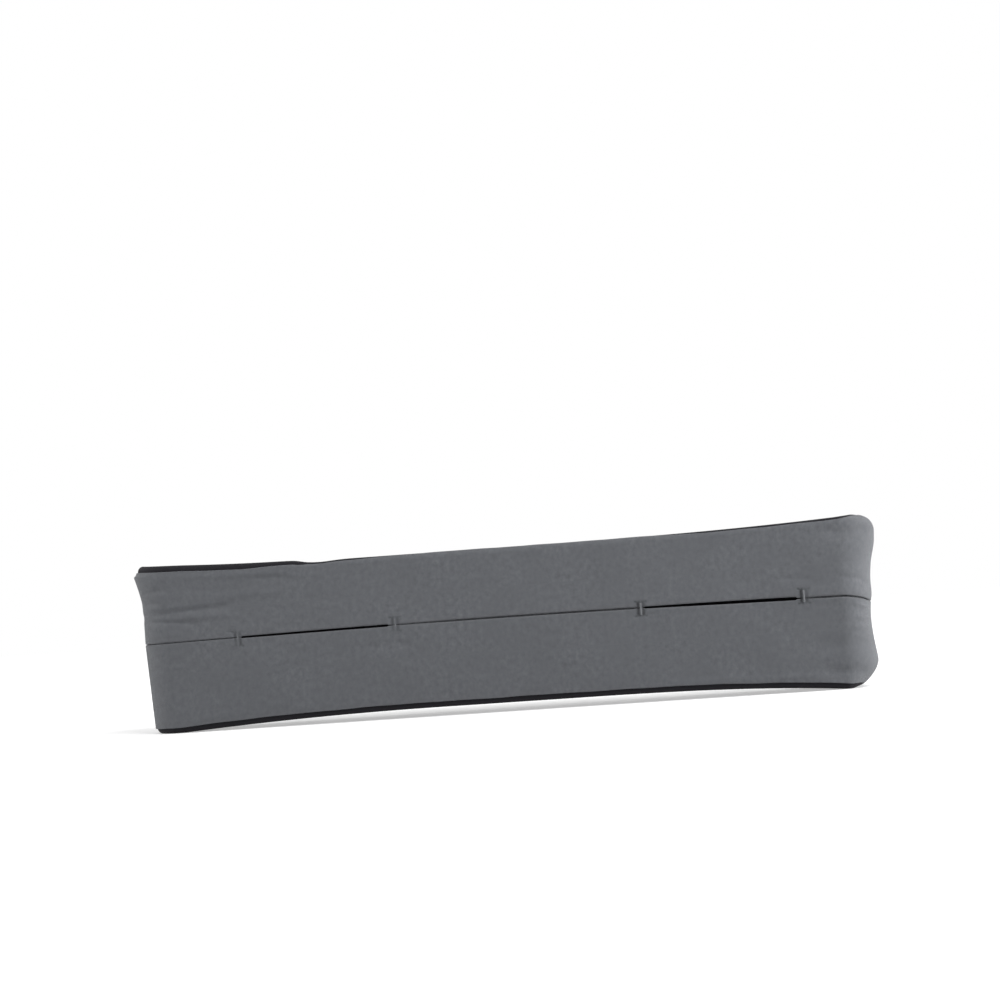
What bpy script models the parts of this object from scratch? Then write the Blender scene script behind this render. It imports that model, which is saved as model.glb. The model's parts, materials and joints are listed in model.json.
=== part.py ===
"""A stretch-knit money belt: a flat tube of cloth sewn into a waist loop, with two slit mouths.

The belt stands on its lower edge as a narrow loop, drawn out along X. The face with the mouths is
towards -Y, and the origin is under the middle of the loop. Sizes are in metres.
"""
from collections import namedtuple
from math import asin, cos, degrees, log, pi, radians, sin

import bmesh
import bpy
from mathutils import Vector

# The loop
BELT_LENGTH = 0.377
BELT_WIDTH = 0.086
NECK_WIDTH = 0.078
NECK_HALF_LENGTH = 0.030
NECK_POWER = 5
LOOP_GAP = 0.026
RIGHT_DRAW = 0.005
RIGHT_DRAW_SHARE = 0.45
RIGHT_TOP_CORNER = 0.007
RIGHT_BOTTOM_CORNER = 0.018
LEFT_LEAN = 0.004

# The cloth tube
FABRIC = 0.001
POCKET_GAP = 0.0054
HEM = 0.006
TOP_BAND = 0.0008
BOTTOM_BAND = 0.0028
FOOT_CUT = 0.00035
JOIN_GAP = 0.0003
CLOSING_GAP = 0.0006

# The centre line, its mouths and their lips
SEAM_HEIGHT = 0.046
SEAM_GROOVE = 0.0012
SLIT = 0.0016
MOUTH_LENGTH = 0.0804
MOUTH_SPACING = 0.1232
PATTERN_OFFSET = 0.0082
LIP_HEIGHT = 0.016
FIT_GAP = 0.0003

# Threads
TACK_WIDTH = 0.0016
TACK_HEIGHT = 0.0070
TACK_DEPTH = 0.0007
SEAT_GAP = 0.0002
SEAM_THREAD = 0.0006
EDGE_THREAD = 0.0012
CLOSING_WIDTH = 0.005
CLOSING_DEPTH = 0.0006
CLOSING_INSET = 0.005

# How finely the curves are cut
TURN_STEP = 15
FRONT_STATIONS = 17
BACK_STATIONS = 8
SHORT_STATIONS = 5
WALL_POINTS = 7
FOLD_STEPS = 6
STRIP_ROLL_STEPS = 4
LINING_TOP_STEPS = 7
LINING_FOOT_STEPS = 10
SEAM_THREAD_SIDES = 8
EDGE_THREAD_SIDES = 6
TACK_RINGS = 9
TACK_ARC_STEP = 30
TACK_END_TAPER = 0.8
SHARP_ANGLE = 40

# Worked out from the sizes above
TUBE_DEPTH = POCKET_GAP + 2 * FABRIC
ROLL = TUBE_DEPTH / 2
SKIN_RADIUS = LOOP_GAP / 2
OUTER_FACE = SKIN_RADIUS + TUBE_DEPTH
X_TURN = BELT_LENGTH / 2 - OUTER_FACE
ROLL_TOP = BELT_WIDTH - ROLL
ROLL_BOTTOM = ROLL - FOOT_CUT
JOIN_TOP = degrees(asin((BELT_WIDTH - TOP_BAND - ROLL_TOP) / ROLL))
JOIN_BOTTOM = degrees(asin((ROLL_BOTTOM - BOTTOM_BAND) / ROLL))
JOIN_HALF_ANGLE = degrees(JOIN_GAP / 2 / ROLL)
FRONT, BACK = -1, 1
LEFT, RIGHT = -1, 1
UPPER, LOWER = 1, -1

# A place on the loop's skin face, the way out of the loop there, and how the cloth is drawn
Station = namedtuple("Station", "x y out_x out_y neck end bend")


def spread(start, end, count):
    """Evenly spaced values from start to end."""
    return [start + (end - start) * i / (count - 1) for i in range(count)]


def neck(x):
    """How much the pull narrows the cloth at x: 1 at the turns, least in the middle."""
    share = (abs(x) - NECK_HALF_LENGTH) / (X_TURN - NECK_HALF_LENGTH)
    share = min(max(share, 0), 1)
    return 1 - (1 - NECK_WIDTH / BELT_WIDTH) * (1 - share ** NECK_POWER)


def run(side, start, end, count):
    """Stations along the straight front or back of the loop."""
    return [Station(x, side * SKIN_RADIUS, 0, side, neck(x), 0, 0) for x in spread(start, end, count)]


def turn(end, side):
    """Stations round one end of the loop, starting from its front or its back."""
    stations = []
    for angle in range(90 - TURN_STEP, -90, -TURN_STEP):
        out_x = end * cos(radians(angle))
        out_y = side * sin(radians(angle))
        x = end * X_TURN + SKIN_RADIUS * out_x
        stations.append(Station(x, SKIN_RADIUS * out_y, out_x, out_y, 1, end, abs(out_x)))
    return stations


def whole_loop():
    """Stations once round the belt, from one side of the closing seam to the other."""
    gap = CLOSING_GAP / 2
    return (run(BACK, gap, X_TURN, BACK_STATIONS) + turn(RIGHT, BACK)
            + run(FRONT, X_TURN, -X_TURN, FRONT_STATIONS) + turn(LEFT, FRONT)
            + run(BACK, -X_TURN, -gap, BACK_STATIONS))


def half_loop(end, start_x):
    """Stations from start_x on the front, round one end, to the closing seam."""
    return (run(FRONT, start_x, end * X_TURN, SHORT_STATIONS) + turn(end, FRONT)
            + run(BACK, end * X_TURN, end * CLOSING_GAP / 2, BACK_STATIONS))


def corner_inset(radius, from_edge):
    """How far a corner rounded to a radius lies inside a square one, at a distance from the edge."""
    return radius - (radius ** 2 - max(radius - from_edge, 0) ** 2) ** 0.5


def end_shift(end, height):
    """How far an end gives way to the pull: leaning in on the left, bowed in and rounded on the right."""
    share = min(max(height / BELT_WIDTH, 0), 1)
    if end == LEFT:
        return LEFT_LEAN * (1 - share)
    bow = sin(pi * share ** (log(0.5) / log(RIGHT_DRAW_SHARE))) ** 2
    top = corner_inset(RIGHT_TOP_CORNER, (1 - share) * BELT_WIDTH)
    bottom = corner_inset(RIGHT_BOTTOM_CORNER, share * BELT_WIDTH)
    return -RIGHT_DRAW * bow - top - bottom


def place(station, offset, height):
    """A point of the cloth: offset out from the skin face, height up from the foot."""
    x = station.x + station.out_x * offset
    if station.bend:
        x += station.bend * end_shift(station.end, height)
    y = station.y + station.out_y * offset
    return Vector((x, y, SEAM_HEIGHT + (height - SEAM_HEIGHT) * station.neck))


def arc(centre, radius, start, end, steps):
    """Points round a centre in the section plane, by degrees from outwards to upwards."""
    return [(centre[0] + radius * cos(radians(a)), centre[1] + radius * sin(radians(a)))
            for a in spread(start, end, steps + 1)]


def ring(centre, radius, sides):
    """Points all the way round a centre in the section plane."""
    return arc(centre, radius, 0, 360 - 360 / sides, sides - 1)


def turned_edge(clear):
    """A centre edge turned in and doubled: (offset, distance from the centre line) points."""
    fold = arc((TUBE_DEPTH - FABRIC, clear + FABRIC), FABRIC, 180, 360, FOLD_STEPS)
    return [(TUBE_DEPTH - FABRIC, clear + HEM), (TUBE_DEPTH - 2 * FABRIC, clear + HEM)] + fold


def from_seam(points, side):
    """Points given by their distance from the centre line, set above or below it."""
    return [(offset, SEAM_HEIGHT + side * distance) for offset, distance in points]


def strip_section(side):
    """Outer strip: turned centre edge, flat wall, and the far edge rolled back to the lining."""
    if side == UPPER:
        roll_distance, join = ROLL_TOP - SEAM_HEIGHT, JOIN_TOP - JOIN_HALF_ANGLE
    else:
        roll_distance, join = SEAM_HEIGHT - ROLL_BOTTOM, JOIN_BOTTOM - JOIN_HALF_ANGLE
    clear = SEAM_GROOVE / 2
    centre = (ROLL, roll_distance)
    wall = spread(clear + HEM, roll_distance, WALL_POINTS)
    outside = [(TUBE_DEPTH, distance) for distance in wall[:-1]]
    outside += arc(centre, ROLL, 0, join, STRIP_ROLL_STEPS)
    inside = arc(centre, ROLL - FABRIC, join, 0, STRIP_ROLL_STEPS)
    inside += [(TUBE_DEPTH - FABRIC, distance) for distance in wall[-2:0:-1]]
    return from_seam(turned_edge(clear) + outside + inside, side)


def lining_section():
    """Lining: flat wall on the skin side with both edges rolled round, and a flat foot."""
    top = JOIN_TOP + JOIN_HALF_ANGLE
    bottom = -JOIN_BOTTOM - JOIN_HALF_ANGLE
    wall = spread(ROLL_BOTTOM, ROLL_TOP, WALL_POINTS)[1:-1]
    skin = arc((ROLL, ROLL_BOTTOM), ROLL, bottom, -180, LINING_FOOT_STEPS)
    skin = [(offset, max(height, 0)) for offset, height in skin]
    skin += [(0, height) for height in wall]
    skin += arc((ROLL, ROLL_TOP), ROLL, 180, top, LINING_TOP_STEPS)
    pocket = arc((ROLL, ROLL_TOP), ROLL - FABRIC, top, 180, LINING_TOP_STEPS)
    pocket += [(FABRIC, height) for height in reversed(wall)]
    pocket += arc((ROLL, ROLL_BOTTOM), ROLL - FABRIC, -180, bottom, LINING_FOOT_STEPS)
    return skin + pocket


def lip_section(side):
    """Mouth lip: turned edge at the slit and a single wall down to its bending line."""
    far = LIP_HEIGHT - FIT_GAP
    points = turned_edge(SLIT / 2) + [(TUBE_DEPTH, far), (TUBE_DEPTH - FABRIC, far)]
    return from_seam(points, side)


def edge_thread_section(roll_height, join):
    """Overlocked thread inside the tube, behind the join of outer strip and lining."""
    reach = ROLL - FABRIC - JOIN_GAP - EDGE_THREAD / 2
    centre = (ROLL + reach * cos(radians(join)), roll_height + reach * sin(radians(join)))
    return ring(centre, EDGE_THREAD / 2, EDGE_THREAD_SIDES)


def band_section(face, way):
    """Stitched band of the closing seam: face is the cloth's surface, way is out or in."""
    low, high = CLOSING_INSET, BELT_WIDTH - CLOSING_INSET
    near = face + way * SEAT_GAP
    far = near + way * CLOSING_DEPTH
    return [(near, low), (far, low + CLOSING_DEPTH), (far, high - CLOSING_DEPTH), (near, high)]


def skin_rings(rings):
    """A closed body through rings of points, each with the same count."""
    bm = bmesh.new()
    loops = [[bm.verts.new(point) for point in ring] for ring in rings]
    count = len(loops[0])
    for before, after in zip(loops, loops[1:]):
        for i in range(count):
            j = (i + 1) % count
            bm.faces.new((before[i], before[j], after[j], after[i]))
    bm.faces.new(loops[0])
    bm.faces.new(loops[-1])
    return bm


def sweep(section, stations):
    """A closed body of one section carried along the loop."""
    return skin_rings([[place(station, *point) for point in section] for station in stations])


def add_piece(name, bm, finish, origin=(0, 0, 0)):
    """Turn a body into a named object whose own origin is where it moves about."""
    bmesh.ops.recalc_face_normals(bm, faces=bm.faces)
    bmesh.ops.translate(bm, verts=bm.verts, vec=-Vector(origin))
    mesh = bpy.data.meshes.new(name)
    bm.to_mesh(mesh)
    bm.free()
    mesh.materials.append(finish)
    mesh.shade_smooth()
    mesh.set_sharp_from_angle(angle=radians(SHARP_ANGLE))
    piece = bpy.data.objects.new(name, mesh)
    piece.location = origin
    bpy.context.collection.objects.link(piece)
    return piece


def linear(value):
    """A screen colour value, 0 to 255, as the linear value that a shader takes."""
    share = value / 255
    return share / 12.92 if share <= 0.04045 else ((share + 0.055) / 1.055) ** 2.4


def make_finish(name, colour, roughness):
    """A Principled finish from a screen colour."""
    finish = bpy.data.materials.new(name)
    finish.use_nodes = True
    shader = finish.node_tree.nodes["Principled BSDF"]
    shader.inputs["Base Color"].default_value = [linear(value) for value in colour] + [1]
    shader.inputs["Roughness"].default_value = roughness
    shader.inputs["Metallic"].default_value = 0
    return finish


def mouth_ends(side):
    """The inner and outer end of a mouth, where its bar tacks sit."""
    inner = PATTERN_OFFSET + side * MOUTH_SPACING / 2
    return inner, inner + side * MOUTH_LENGTH


def window_range(side):
    """The lower and upper x of a mouth's window, between its tacks."""
    low, high = sorted(mouth_ends(side))
    return low + TACK_WIDTH / 2, high - TACK_WIDTH / 2


def make_window_cutter(side):
    """The block that opens both outer strips where a mouth's lips go."""
    low, high = window_range(side)
    bm = bmesh.new()
    bmesh.ops.create_cube(bm, size=1)
    bmesh.ops.scale(bm, vec=(high - low, POCKET_GAP, 2 * LIP_HEIGHT), verts=bm.verts)
    bmesh.ops.translate(bm, vec=((low + high) / 2, -OUTER_FACE, SEAM_HEIGHT), verts=bm.verts)
    mesh = bpy.data.meshes.new("window_cutter")
    bm.to_mesh(mesh)
    bm.free()
    cutter = bpy.data.objects.new("window_cutter", mesh)
    cutter.hide_render = True
    cutter.display_type = "WIRE"
    bpy.context.collection.objects.link(cutter)
    return cutter


def make_outer_strip(name, side, cutters, finish):
    """One of the two grey strips, with a window where each mouth's lip goes."""
    strip = add_piece(name, sweep(strip_section(side), whole_loop()), finish)
    for cutter in cutters:
        window = strip.modifiers.new("window", "BOOLEAN")
        window.operation = "DIFFERENCE"
        window.object = cutter


def make_lip(name, mouth, side, finish):
    """A mouth lip, with its origin on the line where it bends."""
    low, high = window_range(mouth)
    unnecked = [station._replace(neck=1)
                for station in run(FRONT, low + FIT_GAP, high - FIT_GAP, SHORT_STATIONS)]
    bend_line = SEAM_HEIGHT + side * (LIP_HEIGHT - FIT_GAP / 2)
    origin = ((low + high) / 2, -OUTER_FACE, bend_line)
    add_piece(name, sweep(lip_section(side), unnecked), finish, origin)


def make_tack(name, x, finish):
    """A bar tack: a short half-round bar of satin stitches across the end of a slit."""
    rings = []
    for share in spread(-1, 1, TACK_RINGS):
        fullness = (1 - TACK_END_TAPER * share ** 4) ** 0.5
        z = SEAM_HEIGHT + share * TACK_HEIGHT / 2
        rings.append([(x + TACK_WIDTH / 2 * fullness * cos(radians(a)),
                       -OUTER_FACE - SEAT_GAP - TACK_DEPTH * fullness * sin(radians(a)), z)
                      for a in range(0, 181, TACK_ARC_STEP)])
    add_piece(name, skin_rings(rings), finish)


def make_centre_seams(finish):
    """The thread that closes the centre line left of, between and right of the mouths."""
    section = ring((TUBE_DEPTH - FABRIC, SEAM_HEIGHT), SEAM_THREAD / 2, SEAM_THREAD_SIDES)
    left_inner, left_outer = mouth_ends(LEFT)
    right_inner, right_outer = mouth_ends(RIGHT)
    between = run(FRONT, left_inner, right_inner, SHORT_STATIONS)
    add_piece("centre_seam_left", sweep(section, half_loop(LEFT, left_outer)), finish)
    add_piece("centre_seam_middle", sweep(section, between), finish)
    add_piece("centre_seam_right", sweep(section, half_loop(RIGHT, right_outer)), finish)


def make_closing_seam(grey_finish, black_finish):
    """The stitched bands over the join at the back, one on the outer face and one on the lining."""
    stations = run(BACK, -CLOSING_WIDTH / 2, CLOSING_WIDTH / 2, SHORT_STATIONS)
    add_piece("closing_seam_outer", sweep(band_section(TUBE_DEPTH, 1), stations), grey_finish)
    add_piece("closing_seam_lining", sweep(band_section(0, -1), stations), black_finish)


def make_belt():
    """Every piece of the belt."""
    grey_knit = make_finish("grey_knit", (98, 100, 104), 0.85)
    black_knit = make_finish("black_knit", (36, 35, 39), 0.9)
    grey_thread = make_finish("grey_thread", (112, 114, 118), 0.7)
    black_thread = make_finish("black_thread", (38, 38, 42), 0.75)

    cutters = [make_window_cutter(LEFT), make_window_cutter(RIGHT)]
    make_outer_strip("outer_upper_strip", UPPER, cutters, grey_knit)
    make_outer_strip("outer_lower_strip", LOWER, cutters, grey_knit)
    add_piece("lining_strip", sweep(lining_section(), whole_loop()), black_knit)

    for mouth_name, mouth in (("left_mouth", LEFT), ("right_mouth", RIGHT)):
        make_lip(mouth_name + "_upper_lip", mouth, UPPER, grey_knit)
        make_lip(mouth_name + "_lower_lip", mouth, LOWER, grey_knit)
        inner, outer = mouth_ends(mouth)
        make_tack(mouth_name + "_inner_tack", inner, grey_thread)
        make_tack(mouth_name + "_outer_tack", outer, grey_thread)

    make_centre_seams(grey_thread)
    top = edge_thread_section(ROLL_TOP, JOIN_TOP)
    bottom = edge_thread_section(ROLL_BOTTOM, -JOIN_BOTTOM)
    add_piece("top_edge_seam", sweep(top, whole_loop()), black_thread)
    add_piece("bottom_edge_seam", sweep(bottom, whole_loop()), black_thread)
    make_closing_seam(grey_thread, black_thread)


for old_object in list(bpy.data.objects):
    bpy.data.objects.remove(old_object)
make_belt()
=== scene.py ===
"""Looks of the money belt: knit cloth, a rolled lining, hemmed mouths and rows of stitches."""
import json
from math import cos, pi, radians, sin

import bmesh
import bpy
import numpy as np
from mathutils import Matrix, Vector


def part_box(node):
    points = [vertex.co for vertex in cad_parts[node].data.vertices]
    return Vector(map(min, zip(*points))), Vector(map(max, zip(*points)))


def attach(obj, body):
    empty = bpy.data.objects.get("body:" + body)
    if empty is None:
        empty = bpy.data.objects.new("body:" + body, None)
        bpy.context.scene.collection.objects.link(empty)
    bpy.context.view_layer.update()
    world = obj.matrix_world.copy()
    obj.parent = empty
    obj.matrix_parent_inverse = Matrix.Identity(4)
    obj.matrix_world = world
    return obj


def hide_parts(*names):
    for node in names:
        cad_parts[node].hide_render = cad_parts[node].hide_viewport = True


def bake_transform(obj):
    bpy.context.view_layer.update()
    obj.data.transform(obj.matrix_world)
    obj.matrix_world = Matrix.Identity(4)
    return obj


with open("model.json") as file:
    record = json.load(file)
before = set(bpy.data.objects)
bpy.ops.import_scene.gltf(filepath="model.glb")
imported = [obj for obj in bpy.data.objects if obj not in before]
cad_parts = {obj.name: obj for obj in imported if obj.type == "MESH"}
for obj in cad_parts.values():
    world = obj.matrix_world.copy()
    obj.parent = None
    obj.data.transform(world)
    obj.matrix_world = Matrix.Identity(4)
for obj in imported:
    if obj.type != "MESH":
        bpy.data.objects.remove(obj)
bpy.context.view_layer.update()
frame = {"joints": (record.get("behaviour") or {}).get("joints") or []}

# The loop, in metres
BELT_LENGTH = 0.377
BELT_WIDTH = 0.086
TUBE_DEPTH = 0.0074

# How the ends give way: bowed in, most at a share of the width, with rounded corners, or leaning in
RIGHT_DRAW = 0.005
RIGHT_DRAW_SHARE = 0.45
RIGHT_TOP_CORNER = 0.009
RIGHT_CUT_LENGTH = 0.011
RIGHT_CUT_HEIGHT = 0.014
RIGHT_CUT_POWER = 1.75
LEFT_LEAN = 0.004
LEFT_LEAN_POWER = 1.5
LEFT_DRAW = 0.0005
LEFT_DRAW_SHARE = 0.62

# Where the ends flare at the top, and swell at the seam, by share of the width
LEFT_FLARE = 0.0029
LEFT_FLARE_FROM = 0.77
LEFT_FLARE_FULL = 0.935
LEFT_FLARE_POWER = 1.3
LEFT_TIP_TOP = 0.952
LEFT_TIP_DROP = 0.5
RIGHT_FLARE = 0.0013
RIGHT_FLARE_FROM = 0.70
RIGHT_FLARE_FULL = 0.85
RIGHT_SWELL = 0.0007
RIGHT_SWELL_AT = 0.54
RIGHT_SWELL_REACH = 0.06

# What the frame itself says, and what follows from it
HINGE = {joint["name"]: Vector(joint["pos_m"]) for joint in frame["joints"]}
UPPER_HINGE = HINGE["left_upper_lip_opens"]
LOWER_HINGE = HINGE["left_lower_lip_opens"]
OUTER_FACE = -UPPER_HINGE.y
SEAM_HEIGHT = (UPPER_HINGE.z + LOWER_HINGE.z) / 2
LIP_REACH = (UPPER_HINGE.z - LOWER_HINGE.z) / 2
SKIN_RADIUS = OUTER_FACE - TUBE_DEPTH
X_TURN = BELT_LENGTH / 2 - OUTER_FACE
TURN_LENGTH = pi * OUTER_FACE
HALF_LOOP = 2 * X_TURN + TURN_LENGTH

# The sides of the centre line and of the cloth, and the frame's names for the mouths and their tacks
UPPER, LOWER = 1, -1
OUTWARD, INWARD = 1, -1
MOUTHS = ("left_mouth", "right_mouth")
TACKS = [mouth + end for mouth in MOUTHS for end in ("_inner_tack", "_outer_tack")]

# How the pull narrows the cloth, and where its top edge is pushed up on the left, with a dent beside it
NECK_WIDTH = 0.0775
NECK_HALF_LENGTH = 0.030
NECK_EASE = 0.003
LEFT_FULL_AT = {UPPER: X_TURN + OUTER_FACE, LOWER: X_TURN}
LEFT_NECK_POWER = {UPPER: 3.5, LOWER: 2.1}
RIGHT_FULL_AT = {UPPER: X_TURN + OUTER_FACE, LOWER: X_TURN + 0.002}
RIGHT_NECK_POWER = {UPPER: 2.5, LOWER: 3}
PUSH_RISE = 0.0007
PUSH_START = -0.188
PUSH_START_OVER = 0.030
PUSH_END = -0.096
PUSH_END_OVER = 0.008
DENT_AT = -0.091
DENT_REACH = 0.009
DENT_DEPTH = 0.0008

# The cloth, its hems, the gaps of its seam and slits, its rolled edges and its crown
FABRIC = 0.0008
HEM = 0.006
FOLD_RADIUS = 0.0007
SEAM_LEFT_GAP = 0.0002
SEAM_RIGHT_GAP = 0.00036
SEAM_WIDENS_FROM = -0.050
SEAM_WIDENS_TO = -0.020
SEAM_CLOSES_AT = X_TURN + 0.014
SEAM_CLOSES_OVER = 0.012
SHUT_AT_TURNS = 0.9
TACK_CLOSES = 0.0025
SHUT_AT_TACKS = 0.8
SLIT_LEFT_GAP = 0.00048
SLIT_RIGHT_GAP = {"left_mouth": 0.00057, "right_mouth": 0.00083}
SLIT_LEFT_INSET = 0.0004
SLIT_RIGHT_INSET = 0.0022
SLIT_TAPER = 0.0008
LINING_ROLL = 0.0032
GREY_ROLL = TUBE_DEPTH - LINING_ROLL
ROLL_LEAD = 0.0006
FOOT_CUT = 0.0003
FLANGE = 0.004
FLANGE_TIP = FABRIC / 3
CROWN = 0.00065
CROWN_SOFT = 0.003
OUTER_SHARE = 0.7

# How the skin side ripples, and how that swells and dies away along the loop
SKIN_WAVE = 0.0002
SKIN_WAVE_ALONG = 0.057
SKIN_WAVE_UP = 0.21
SKIN_WAVE_SWELL = 0.131

# How far the lining shows past the grey edge, below 0 where it is hidden: place along the loop, width
# From 0.103 to 0.170 the thin top band is partly painted shadow, a dark strip where the top edge lies in
# shade
TOP_BAND = ((-0.233, 0.0012), (-0.200, 0.0032), (-0.131, 0.0031), (-0.119, 0.0022), (-0.101, 0.0019),
            (-0.096, 0.0008), (-0.073, 0.0006), (-0.040, -0.0003), (0.080, -0.0003), (0.103, 0.0007),
            (0.170, 0.0009), (0.182, 0.0001), (0.233, 0.0012))
BOTTOM_BAND = ((-0.233, 0.0012), (-0.200, 0.0022), (-0.175, 0.0029), (0.160, 0.0029), (0.183, 0.0027),
               (0.193, 0.0018), (0.201, 0.0002), (0.208, -0.0004), (0.233, 0.0012))

# How the grey edge wavers: the height of each of three waves, and their lengths over 2 pi
EDGE_WAVE = 0.00006
EDGE_WAVE_LENGTHS = (0.0041, 0.0067, 0.0113)

# The centre line bows up along the front, and sinks as it goes round the right-hand turn
SEAM_BOW = 0.00115
BOW_LENGTH = 0.30
BOW_FADES_AT = 0.190
BOW_FADES_OVER = 0.060
SEAM_DIP = 0.0034
DIP_START = 0.168
DIP_FULL = 0.199
DIP_END = 0.260
DIP_REACH = 0.020

# Draw lines in the cloth: from (place, height), to (place, height), half width, rise
FOLDS = (
    (-0.195, 0.0592, -0.130, 0.0634, 0.0015, -0.00110),
    (-0.193, 0.0583, -0.153, 0.0550, 0.0013, -0.00090),
    (-0.164, 0.0586, -0.130, 0.0578, 0.0018, 0.00060),
    (-0.187, 0.0722, -0.170, 0.0727, 0.0014, -0.00080),
    (-0.187, 0.0668, -0.175, 0.0660, 0.0013, -0.00060),
    (-0.125, 0.0755, -0.106, 0.0750, 0.0014, -0.00060),
    (-0.140, 0.0675, -0.106, 0.0685, 0.0024, 0.00055),
    (-0.176, 0.0785, -0.110, 0.0778, 0.0020, 0.00050),
    (-0.070, 0.0355, -0.045, 0.0370, 0.0026, -0.00050),
    (0.164, 0.0760, 0.187, 0.0785, 0.0028, -0.00170),
    (0.140, 0.0563, 0.154, 0.0556, 0.0013, -0.00045),
    (0.140, 0.0478, 0.190, 0.0470, 0.0045, 0.00070),
    (0.168, 0.0552, 0.187, 0.0545, 0.0013, -0.00050),
    (0.176, 0.0425, 0.190, 0.0420, 0.0013, 0.00035),
    (0.178, 0.0352, 0.192, 0.0364, 0.0013, 0.00040),
    (0.174, 0.0300, 0.191, 0.0310, 0.0015, 0.00040),
    (0.072, 0.0430, 0.077, 0.0427, 0.0011, -0.00040),
    (-0.139, 0.0495, -0.1345, 0.0490, 0.0010, -0.00035),
    (0.153, 0.0220, 0.187, 0.0226, 0.0040, -0.00070),
    (0.158, 0.0090, 0.183, 0.0080, 0.0028, -0.00110),
    (0.083, 0.0085, 0.163, 0.0070, 0.0022, 0.00040),
)

# How much of a draw line's rise is gone at its ends
FOLD_FADE = 0.7

# Slow waves that keep the cloth from lying dead flat: length along, length up, phase, height
WAVES = ((0.083, 0.061, 0.4, 0.00010), (-0.047, 0.090, 2.1, 0.00008), (0.031, 0.037, 4.0, 0.00005))

# How far from the lines where the lips bend the cloth is still: past their ends, and to either side
STILL_PAST_ENDS = 0.010
STILL_TO_SIDES = 0.004

# The bar tacks, and the moat of cloth that each draws in
TACK_WIDTH = 0.0007
TACK_HEIGHT = 0.0054
TACK_MOAT_HALF = 0.0022
TACK_MOAT_RADIUS = 0.0013
TACK_MOAT_SPREAD = 0.0008
TACK_MOAT_ENDS = 0.2
TACK_MOAT_DEPTH = 0.0006

# Stands in for no distance at all, on a tack's own line
LEAST_AWAY = 1e-6

# A pucker at each corner of a tack, between two places: beside the tack, and above or below its middle
PUCKER_FROM = (0.0010, 0.0030)
PUCKER_TO = (0.0027, 0.0036)
PUCKER_HALF_WIDTH = 0.0006
PUCKER_PULL = 0.6

# How hard each bar tack draws the cloth in, and how dark the painted shade there is, at its top left,
# bottom left, top right and bottom right
TACK_PULL = {"left_mouth_outer_tack": (0.65, 0.30, 0.35, 0.55),
             "left_mouth_inner_tack": (0.55, 0.30, 0.35, 0.35),
             "right_mouth_inner_tack": (0.85, 0.72, 0.50, 0.70),
             "right_mouth_outer_tack": (0.92, 0.85, 0.35, 0.52)}

# How far above or below the centre line each bar tack is sewn, and how deep it sinks into the cloth
TACK_SEWN = {"left_mouth_outer_tack": (-0.0008, 0.00042), "left_mouth_inner_tack": (0.0004, 0.00042),
             "right_mouth_inner_tack": (-0.0004, 0), "right_mouth_outer_tack": (0.0010, 0)}

# The seams
SEAM_THREAD_DEPTH = 0.0013
CLOSING_WIDTH = 0.005
CLOSING_INSET = 0.005
CLOSING_NEEDLE_INSET = 0.0006

# The kinds of stitch, as the stitch row's nodes take them
LOCK_STITCH = {"Spacing": 0.0024, "Length": 0.0023, "Rise": 0.00016, "Thread Radius": 0.00016,
               "Unevenness": 0.03, "Seed": 3}
TACK_STITCH = {"Spacing": 0.00026, "Length": TACK_WIDTH, "Rise": 0.00040, "Thread Radius": 0.00017,
               "Turn": pi / 2, "Alternate Turn": 0.10, "Unevenness": 0.06, "Seed": 5}
OVERLOCK_STITCH = {"Spacing": 0.0016, "Length": 0.0042, "Rise": 0.00030, "Thread Radius": 0.00018,
                   "Turn": pi / 2, "Alternate Turn": 0.24, "Unevenness": 0.05, "Seed": 7}
COVER_STITCH = {"Spacing": 0.00085, "Length": CLOSING_WIDTH, "Rise": 0.00025, "Thread Radius": 0.00017,
                "Turn": pi / 2, "Alternate Turn": 0.42, "Unevenness": 0.04, "Seed": 9}

# How finely the cloth and the thread are cut
FRONT_STEP = 0.0015
TURN_STEP = 0.0015
BACK_STEP = 0.0035
TACK_STEP = 0.00028
TACK_ZONE = 0.005
HEM_POINTS = 19
LIP_POINTS = 13
WALL_POINTS = 26
LINING_POINTS = 42
ROLL_POINTS = 8
LINING_ROLL_POINTS = 17
FOLD_POINTS = 5
FLANGE_POINTS = 4
TACK_POINTS = 9
CLOSING_POINTS = 40
ARCH_POINTS = 6
THREAD_SIDES = 6
SHARP_ANGLE = radians(40)

# The knit's stitches and its uneven dye, with sizes in metres
KNIT_STITCH = {"Wale Width": 0.00050, "Course Height": 0.00042}
MOTTLE = {"Stroke Width": 0.0024, "Stroke Length": 0.0030, "Blotch Size": 0.024}
V_SLANT = 0.6
LOOP_DEPTH = 0.25
STROKE_DETAIL = 2.0
BLOTCH_DETAIL = 3.0
MOTTLE_ROUGHNESS = 0.6
BLOTCH_RANGE = 0.15
FAINT_STROKES = 0.4
STRONG_STROKES = 1.4
STROKE_ROUGHNESS = 0.2
KNIT_BUMP = 0.5
KNIT_BUMP_HEIGHT = 0.00012
KNIT_SPECULAR = 0.08
KNIT_SHEEN_ROUGHNESS = 0.6

# The thread's twist
PLY_SCALE = 900.0
PLY_WAVER = 1.5
PLY_DARK = 0.82
PLY_LIGHT = 1.08
PLY_BUMP = 0.4
PLY_BUMP_HEIGHT = 0.00005
THREAD_ROUGHNESS = 0.6
THREAD_SHEEN_ROUGHNESS = 0.4

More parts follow.
